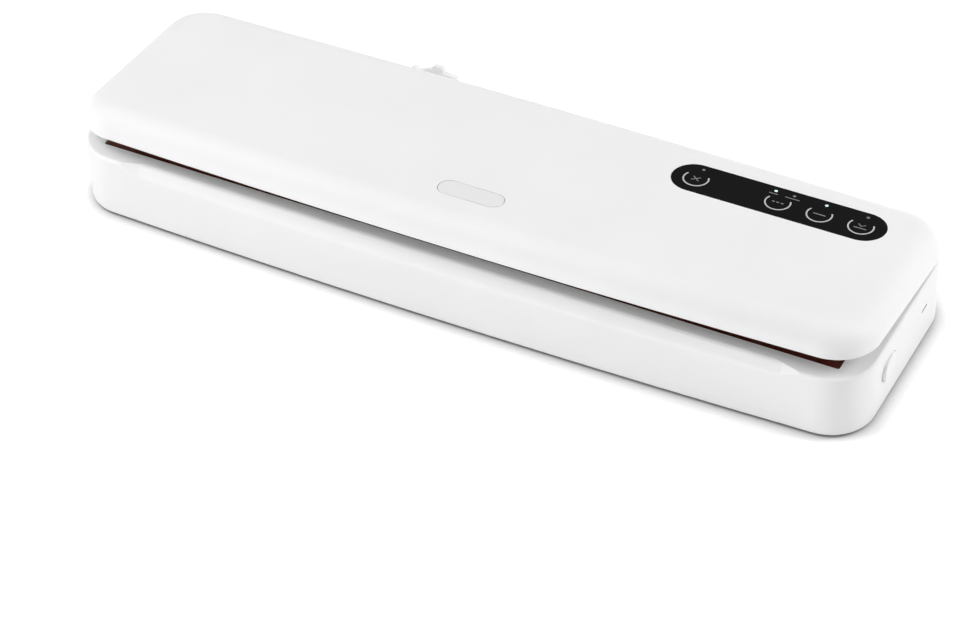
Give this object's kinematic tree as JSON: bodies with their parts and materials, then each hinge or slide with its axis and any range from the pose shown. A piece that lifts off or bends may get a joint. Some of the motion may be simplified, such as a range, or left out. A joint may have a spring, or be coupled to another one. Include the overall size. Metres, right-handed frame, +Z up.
{
  "type": "vacuum sealer",
  "caption": "Slim countertop vacuum sealer with a hinged lid, touch panel, side release buttons, heat-sealing bar, vacuum channel and a sliding bag cutter.",
  "frame": {"origin": "middle of the bounding box at rest, on the surface that the feet stand on", "axes": "+X to the right along the length, +Y to the back where the hinge is, +Z up"},
  "size_m": [0.3832, 0.1184, 0.0547],
  "materials": {
    "white_gloss": "smooth glossy white ABS",
    "white_pill": "satin light grey ABS",
    "white_matte": "fine matte white ABS",
    "black_gloss": "gloss black panel overlay",
    "dark_plastic": "fine matte black plastic",
    "light_on": "lit indicator lens",
    "light_off": "unlit indicator lens",
    "tape": "brown fluoropolymer coated glass cloth",
    "gasket": "dark foam rubber",
    "silicone": "pale silicone rubber",
    "feet": "matte black rubber",
    "steel": "plain steel",
    "brass": "brass",
    "board": "green solder mask",
    "copper_wound": "taped winding on a ferrite core",
    "aluminium": "extruded aluminium",
    "wire": "insulated hook-up wire",
    "insulator": "heat-proof laminate"
  },
  "bodies": {
    "base": {"base_shell": "white_gloss", "bottom_cover": "white_matte", "rubber_feet": "feet", "cover_screws": "steel", "lower_gasket": "gasket", "heater_bar": "insulator", "heating_strip": "steel", "seal_tape": "tape", "heater_terminals": "brass", "release_spring_left": "steel", "release_spring_right": "steel", "pump_motor": "steel", "motor_cradle": "dark_plastic", "pump_head": "dark_plastic", "pump_diaphragm": "gasket", "pump_cover": "dark_plastic", "suction_nozzle": "dark_plastic", "vacuum_hose": "silicone", "main_board": "board", "transformer": "copper_wound", "capacitors": "dark_plastic", "heat_sink": "aluminium", "power_inlet": "dark_plastic", "inlet_pins": "brass", "base_wires": "wire", "hinge_pins": "steel"},
    "lid": {"lid_shell": "white_gloss", "lid_liner": "white_matte", "lid_screws": "steel", "upper_gasket": "gasket", "pressure_strip": "silicone", "control_panel": "black_gloss", "panel_lights_on": "light_on", "panel_lights_off": "light_off", "control_board": "board", "touch_springs": "steel", "vent_spring": "steel", "latch_hooks": "white_matte", "cutter_rail": "white_matte"},
    "left_button": {"release_button_left": "white_gloss"},
    "right_button": {"release_button_right": "white_gloss"},
    "crank": {"pump_crank": "steel"},
    "vent": {"vent_button": "white_pill", "vent_seal": "gasket"},
    "cutter": {"cutter_slider": "white_gloss", "cutter_blade": "steel"}
  },
  "joints": [
    {"name": "lid_hinge", "type": "hinge", "parent": "base", "child": "lid", "pos_m": [0, 0.0557, 0.031], "axis": [-1, 0, 0], "range_deg": [-5.2, 64], "deforming": ["lower_gasket", "upper_gasket", "latch_hooks"]},
    {"name": "left_release", "type": "slide", "parent": "base", "child": "left_button", "axis": [1, 0, 0], "range_m": [0, 0.0025], "stiffness_N_per_m": 900, "deforming": ["release_spring_left"]},
    {"name": "right_release", "type": "slide", "parent": "base", "child": "right_button", "axis": [-1, 0, 0], "range_m": [0, 0.0025], "stiffness_N_per_m": 900, "deforming": ["release_spring_right"]},
    {"name": "pump_turn", "type": "hinge", "parent": "base", "child": "crank", "pos_m": [-0.088, 0.02225, 0.0154], "axis": [1, 0, 0], "continuous": true},
    {"name": "vent_press", "type": "slide", "parent": "lid", "child": "vent", "axis": [0, -0.0906, -0.9959], "range_m": [0, 0.0018], "stiffness_N_per_m": 700, "deforming": ["vent_spring"]},
    {"name": "cutter_slide", "type": "slide", "parent": "lid", "child": "cutter", "axis": [1, 0, 0], "range_m": [-0.0719, 0.2007]}
  ]
}
